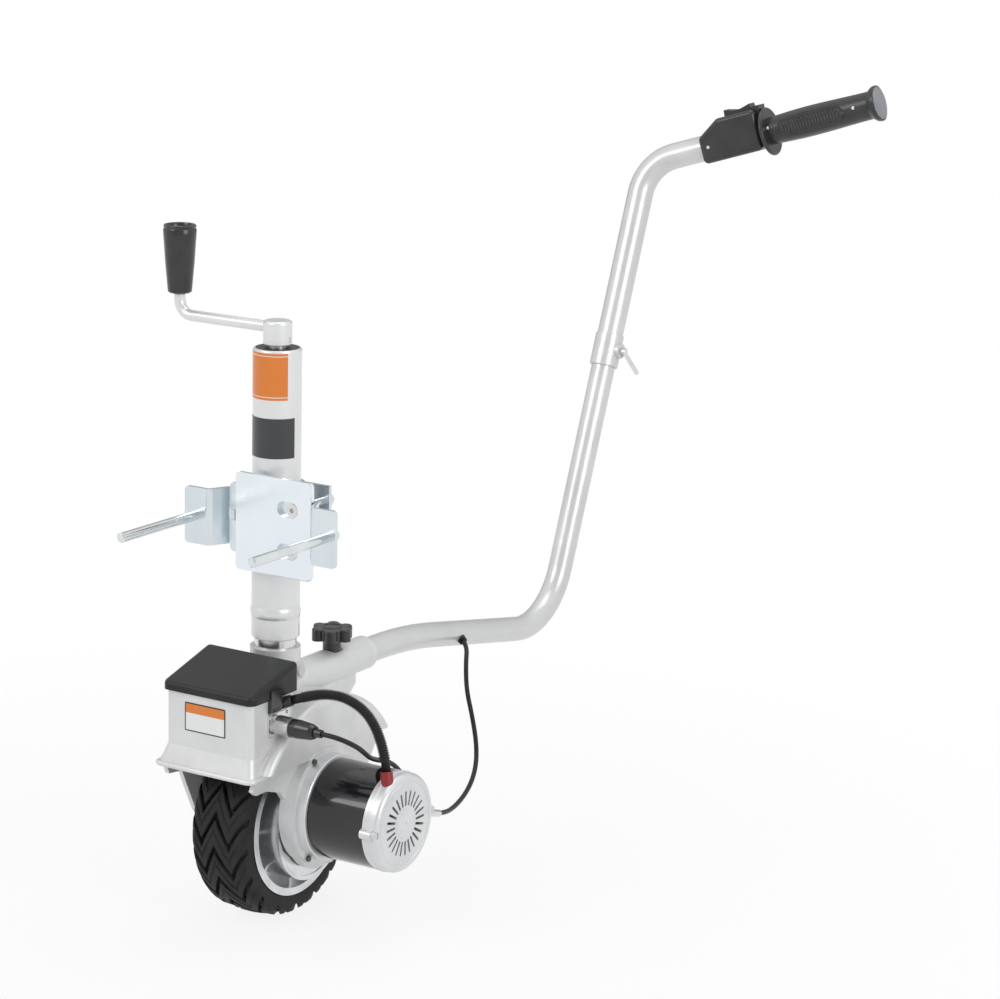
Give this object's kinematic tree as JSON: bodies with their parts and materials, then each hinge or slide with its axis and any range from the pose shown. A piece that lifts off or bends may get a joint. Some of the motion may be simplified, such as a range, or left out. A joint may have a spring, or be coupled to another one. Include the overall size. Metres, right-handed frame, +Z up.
{
  "type": "trailer dolly",
  "caption": "Motor-driven jockey wheel with a crank-lifted jack tube, a drawbar clamp, a control box over the wheel and a telescoping steering handle.",
  "frame": {"origin": "on the jack tube's axis, level with the two clamp studs", "axes": "+Z up along the jack tube; +X along the wheel axle towards the motor; +Y rearward towards the steering handle, so the drawbar lies at -Y"},
  "size_m": [0.4198, 0.9274, 0.7945],
  "materials": {
    "silver_paint": "smooth silver paint",
    "cast_paint": "silver paint over a cast surface",
    "zinc": "zinc plated",
    "steel": "bright turned steel",
    "dark_steel": "blackened steel",
    "bearing_steel": "ground steel",
    "bronze": "plain bronze",
    "black_gloss": "gloss black paint",
    "cap_metal": "cast and lacquered",
    "rim_metal": "turned lips on a cast rim",
    "black_plastic": "satin black",
    "grip_rubber": "ribbed soft grip",
    "grey_plastic": "mid grey",
    "tyre": "solid rubber",
    "cable_black": "cable sheath",
    "conduit": "ribbed conduit",
    "red_sleeve": "red sleeve",
    "label_orange": "blank printed film",
    "label_dark": "blank printed film",
    "board": "coated board",
    "seal": "foam seal",
    "magnet": "ferrite",
    "copper": "copper and carbon"
  },
  "bodies": {
    "stem": {"outer_tube": "silver_paint", "tube_bushes": "dark_steel", "thrust_bearing": "bearing_steel", "tube_labels": "label_orange", "hat_strap": "zinc", "inner_plate": "zinc", "front_plate": "zinc", "rear_saddle": "zinc", "studs": "zinc", "stud_nuts": "zinc", "clamp_bolts": "dark_steel"},
    "crank": {"crank_spindle": "steel", "crank_hub": "silver_paint", "hub_pin": "steel", "crank_rod": "silver_paint"},
    "crank_handle": {"crank_grip": "black_plastic"},
    "lift": {"lift_nut": "bronze", "nut_rings": "steel"},
    "drive": {"inner_tube": "steel", "cast_body": "cast_paint", "lid_seal": "seal", "control_board": "board", "board_parts": "black_plastic", "box_label": "label_dark", "socket_plate": "black_plastic", "plug": "black_plastic", "box_gland": "black_plastic", "motor_lead": "conduit", "control_cable": "cable_black", "cable_sleeve": "steel", "cable_grommet": "cable_black", "lower_handle": "silver_paint", "wheel_axle": "steel", "planet_ring": "steel", "motor_flange": "cap_metal", "motor_can": "black_gloss", "motor_cap": "cap_metal", "motor_bearings": "bearing_steel", "magnets": "magnet", "brushes": "copper", "body_screws": "zinc", "lead_sleeve": "red_sleeve"},
    "lid": {"box_lid": "black_plastic", "lid_clips": "black_plastic"},
    "knob": {"socket_knob": "black_plastic"},
    "wheel": {"wheel_rim": "rim_metal", "tyre": "tyre", "wheel_bearings": "bearing_steel", "ring_gear": "steel"},
    "rotor": {"rotor": "steel"},
    "planet_stage": {"planet_carrier": "steel", "planets": "steel"},
    "upper_handle": {"upper_tube": "silver_paint", "handle_sleeve": "silver_paint", "switch_housing": "black_plastic", "handle_grip": "grip_rubber", "grip_plug": "grey_plastic"},
    "lever": {"lever_screw": "zinc"},
    "rocker": {"rocker": "black_plastic"}
  },
  "joints": [
    {"name": "crank_turn", "type": "hinge", "parent": "stem", "child": "crank", "pos_m": [0, 0, 0.18], "axis": [0, 0, 1], "range_deg": [0, 14400]},
    {"name": "crank_grip_spin", "type": "hinge", "parent": "crank", "child": "crank_handle", "pos_m": [-0.12, 0, 0.24], "axis": [0, 0, 1], "continuous": true},
    {"name": "lift_slide", "type": "slide", "parent": "stem", "child": "lift", "axis": [0, 0, -1], "range_m": [0, 0.16]},
    {"name": "steer", "type": "hinge", "parent": "lift", "child": "drive", "pos_m": [0, 0, 0], "axis": [0, 0, 1], "continuous": true},
    {"name": "lid_lift", "type": "slide", "parent": "drive", "child": "lid", "axis": [0, 0, 1], "range_m": [0, 0.06]},
    {"name": "knob_turn", "type": "hinge", "parent": "drive", "child": "knob", "pos_m": [0, 0.098, -0.15], "axis": [0, 0, 1], "range_deg": [0, 720]},
    {"name": "wheel_spin", "type": "hinge", "parent": "drive", "child": "wheel", "pos_m": [0, -0.0011, -0.30975], "axis": [1, 0, 0], "continuous": true},
    {"name": "carrier_spin", "type": "hinge", "parent": "drive", "child": "planet_stage", "pos_m": [0, -0.0011, -0.2874], "axis": [1, 0, 0], "continuous": true},
    {"name": "rotor_spin", "type": "hinge", "parent": "drive", "child": "rotor", "pos_m": [0, -0.0011, -0.2874], "axis": [1, 0, 0], "continuous": true},
    {"name": "handle_slide", "type": "slide", "parent": "drive", "child": "upper_handle", "axis": [0, 0.3535, 0.9354], "range_m": [-0.08, 0.06]},
    {"name": "lever_turn", "type": "hinge", "parent": "upper_handle", "child": "lever", "pos_m": [0, 0.6356, 0.07196], "axis": [1, 0, 0], "range_deg": [0, 270]},
    {"name": "rocker_tilt", "type": "hinge", "parent": "upper_handle", "child": "rocker", "pos_m": [0.11318, 0.72427, 0.34011], "axis": [0.0987, -0.9951, 0], "range_deg": [-9, 9], "stiffness_Nm_per_rad": 0.4}
  ],
  "couplings": [
    {"joint": "lift_slide", "follows": "crank_turn", "m_per_rad": 0.00063662},
    {"joint": "carrier_spin", "follows": "wheel_spin", "ratio": 3.4833},
    {"joint": "rotor_spin", "follows": "wheel_spin", "ratio": 24.383}
  ]
}
